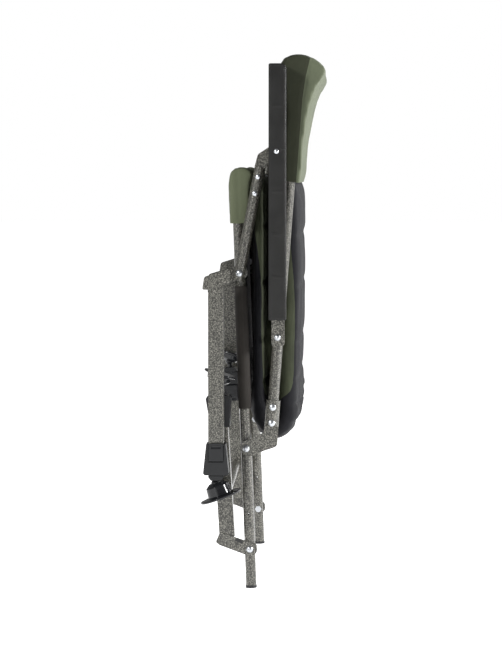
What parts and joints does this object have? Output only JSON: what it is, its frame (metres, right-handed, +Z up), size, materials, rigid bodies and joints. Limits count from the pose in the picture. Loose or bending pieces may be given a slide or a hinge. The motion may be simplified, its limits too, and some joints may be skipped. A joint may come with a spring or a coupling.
{
  "type": "folding camp chair",
  "caption": "Low folding recliner camp chair with armrests, quilted seat and back, and telescopic square legs on ball-jointed mud feet, folded flat.",
  "frame": {"origin": "middle of the folded chair on the ground it stands on", "axes": "+Z up the folded chair, +X from the legs to the back of the backrest, Y across the seat; the left side of the pieces names is -Y"},
  "size_m": [0.2172, 0.699, 0.9408],
  "materials": {
    "hammertone_steel": "hammertone paint",
    "zinc_steel": "zinc plated",
    "black_nylon": "moulded nylon",
    "gloss_foot_plastic": "smooth moulded",
    "armrest_plastic": "moulded",
    "rubber_buffer": "matt",
    "aluminium_inner_leg": "satin",
    "olive_polyester": "woven 600 denier",
    "quilted_polyester": "woven 600 denier, padded",
    "black_cloth": "woven",
    "sleeve_cloth": "woven"
  },
  "bodies": {
    "seat": {"seat_frame": "hammertone_steel", "rail_end_caps": "black_nylon", "rail_sleeve_left": "sleeve_cloth", "rail_sleeve_right": "sleeve_cloth", "frame_pivot_bolts": "zinc_steel", "seat_deck": "black_cloth", "seat_pad": "quilted_polyester", "seat_front_pocket": "olive_polyester"},
    "backrest": {"backrest_frame": "hammertone_steel", "hinge_bracket_left": "hammertone_steel", "hinge_bracket_right": "hammertone_steel", "hinge_bracket_rivets": "zinc_steel", "back_pad": "quilted_polyester", "head_pocket": "olive_polyester"},
    "pad_fold": {"pad_fold": "quilted_polyester"},
    "front_legs": {"front_leg_crossbar": "hammertone_steel", "front_leg_tube_left": "hammertone_steel", "front_leg_plate_left": "hammertone_steel", "front_cam_clamp_left": "black_nylon", "front_leg_tube_right": "hammertone_steel", "front_leg_plate_right": "hammertone_steel", "front_cam_clamp_right": "black_nylon"},
    "rear_legs": {"rear_leg_crossbar": "hammertone_steel", "rear_leg_bumpers": "rubber_buffer", "rear_leg_tube_left": "hammertone_steel", "rear_leg_plate_left": "hammertone_steel", "rear_cam_clamp_left": "black_nylon", "rear_leg_tube_right": "hammertone_steel", "rear_leg_plate_right": "hammertone_steel", "rear_cam_clamp_right": "black_nylon"},
    "armrest_left": {"armrest_core_left": "hammertone_steel", "armrest_cover_left": "armrest_plastic", "armrest_bolts_left": "zinc_steel"},
    "strut_left": {"strut_tube_left": "hammertone_steel", "strut_head_left": "hammertone_steel", "strut_rivets_left": "zinc_steel"},
    "armrest_right": {"armrest_core_right": "hammertone_steel", "armrest_cover_right": "armrest_plastic", "armrest_bolts_right": "zinc_steel"},
    "strut_right": {"strut_tube_right": "hammertone_steel", "strut_head_right": "hammertone_steel", "strut_rivets_right": "zinc_steel"},
    "lower_leg_front_left": {"front_lower_leg_left": "aluminium_inner_leg", "front_foot_ball_left": "black_nylon"},
    "foot_front_left": {"front_foot_left": "gloss_foot_plastic"},
    "cam_lever_front_left": {"front_cam_lever_left": "black_nylon"},
    "lower_leg_front_right": {"front_lower_leg_right": "aluminium_inner_leg", "front_foot_ball_right": "black_nylon"},
    "foot_front_right": {"front_foot_right": "gloss_foot_plastic"},
    "cam_lever_front_right": {"front_cam_lever_right": "black_nylon"},
    "lower_leg_rear_left": {"rear_lower_leg_left": "aluminium_inner_leg", "rear_foot_ball_left": "black_nylon"},
    "foot_rear_left": {"rear_foot_left": "gloss_foot_plastic"},
    "cam_lever_rear_left": {"rear_cam_lever_left": "black_nylon"},
    "lower_leg_rear_right": {"rear_lower_leg_right": "aluminium_inner_leg", "rear_foot_ball_right": "black_nylon"},
    "foot_rear_right": {"rear_foot_right": "gloss_foot_plastic"},
    "cam_lever_rear_right": {"rear_cam_lever_right": "black_nylon"}
  },
  "joints": [
    {"name": "backrest_fold", "type": "hinge", "parent": "seat", "child": "backrest", "pos_m": [-0.03022, 0, 0.2492], "axis": [0, 1, 0], "range_deg": [0, 98], "deforming": ["pad_fold"]},
    {"name": "pad_fold_turn", "type": "hinge", "parent": "seat", "child": "pad_fold", "pos_m": [-0.03022, 0, 0.2492], "axis": [0, 1, 0], "range_deg": [0, 49.01]},
    {"name": "armrest_pivot_left", "type": "hinge", "parent": "backrest", "child": "armrest_left", "pos_m": [0.02529, -0.26, 0.44729], "axis": [0, 1, 0], "range_deg": [-96.05, 0]},
    {"name": "strut_pivot_left", "type": "hinge", "parent": "seat", "child": "strut_left", "pos_m": [-0.04124, -0.26, 0.56], "axis": [0, 1, 0], "range_deg": [0, 90.95]},
    {"name": "armrest_pivot_right", "type": "hinge", "parent": "backrest", "child": "armrest_right", "pos_m": [0.02529, 0.26, 0.44729], "axis": [0, 1, 0], "range_deg": [-96.05, 0]},
    {"name": "strut_pivot_right", "type": "hinge", "parent": "seat", "child": "strut_right", "pos_m": [-0.04124, 0.26, 0.56], "axis": [0, 1, 0], "range_deg": [0, 90.95]},
    {"name": "front_leg_fold", "type": "hinge", "parent": "seat", "child": "front_legs", "pos_m": [-0.04124, 0, 0.56], "axis": [0, 1, 0], "range_deg": [0, 93]},
    {"name": "rear_leg_fold", "type": "hinge", "parent": "seat", "child": "rear_legs", "pos_m": [-0.02388, 0, 0.07031], "axis": [0, 1, 0], "range_deg": [-103, 0]},
    {"name": "front_leg_slide_left", "type": "slide", "parent": "front_legs", "child": "lower_leg_front_left", "axis": [0, 0, -1], "range_m": [0, 0.11]},
    {"name": "front_foot_tilt_left", "type": "hinge", "parent": "lower_leg_front_left", "child": "foot_front_left", "pos_m": [-0.08124, -0.312, 0.1919], "axis": [0, 1, 0], "range_deg": [0, 40]},
    {"name": "front_cam_lever_left", "type": "hinge", "parent": "front_legs", "child": "cam_lever_front_left", "pos_m": [-0.08124, -0.329, 0.235], "axis": [1, 0, 0], "range_deg": [0, 100]},
    {"name": "front_leg_slide_right", "type": "slide", "parent": "front_legs", "child": "lower_leg_front_right", "axis": [0, 0, -1], "range_m": [0, 0.11]},
    {"name": "front_foot_tilt_right", "type": "hinge", "parent": "lower_leg_front_right", "child": "foot_front_right", "pos_m": [-0.08124, 0.312, 0.1919], "axis": [0, 1, 0], "range_deg": [0, 40]},
    {"name": "front_cam_lever_right", "type": "hinge", "parent": "front_legs", "child": "cam_lever_front_right", "pos_m": [-0.08124, 0.329, 0.235], "axis": [-1, 0, 0], "range_deg": [0, 100]},
    {"name": "rear_leg_slide_left", "type": "slide", "parent": "rear_legs", "child": "lower_leg_rear_left", "axis": [-0.0616, 0, 0.9981], "range_m": [0, 0.11]},
    {"name": "rear_foot_tilt_left", "type": "hinge", "parent": "lower_leg_rear_left", "child": "foot_rear_left", "pos_m": [-0.08098, -0.2562, 0.36575], "axis": [0, 1, 0], "range_deg": [-40, 0]},
    {"name": "rear_cam_lever_left", "type": "hinge", "parent": "rear_legs", "child": "cam_lever_rear_left", "pos_m": [-0.07786, -0.2392, 0.31515], "axis": [0.9981, 0, 0.0616], "range_deg": [0, 100]},
    {"name": "rear_leg_slide_right", "type": "slide", "parent": "rear_legs", "child": "lower_leg_rear_right", "axis": [-0.0616, 0, 0.9981], "range_m": [0, 0.11]},
    {"name": "rear_foot_tilt_right", "type": "hinge", "parent": "lower_leg_rear_right", "child": "foot_rear_right", "pos_m": [-0.08098, 0.2562, 0.36575], "axis": [0, 1, 0], "range_deg": [-40, 0]},
    {"name": "rear_cam_lever_right", "type": "hinge", "parent": "rear_legs", "child": "cam_lever_rear_right", "pos_m": [-0.07786, 0.2392, 0.31515], "axis": [-0.9981, 0, -0.0616], "range_deg": [0, 100]}
  ],
  "couplings": [
    {"joint": "pad_fold_turn", "follows": "backrest_fold", "ratio": 0.5},
    {"joint": "armrest_pivot_left", "follows": "backrest_fold", "ratio": -0.98},
    {"joint": "strut_pivot_left", "follows": "backrest_fold", "ratio": 0.928},
    {"joint": "armrest_pivot_right", "follows": "backrest_fold", "ratio": -0.98},
    {"joint": "strut_pivot_right", "follows": "backrest_fold", "ratio": 0.928}
  ]
}
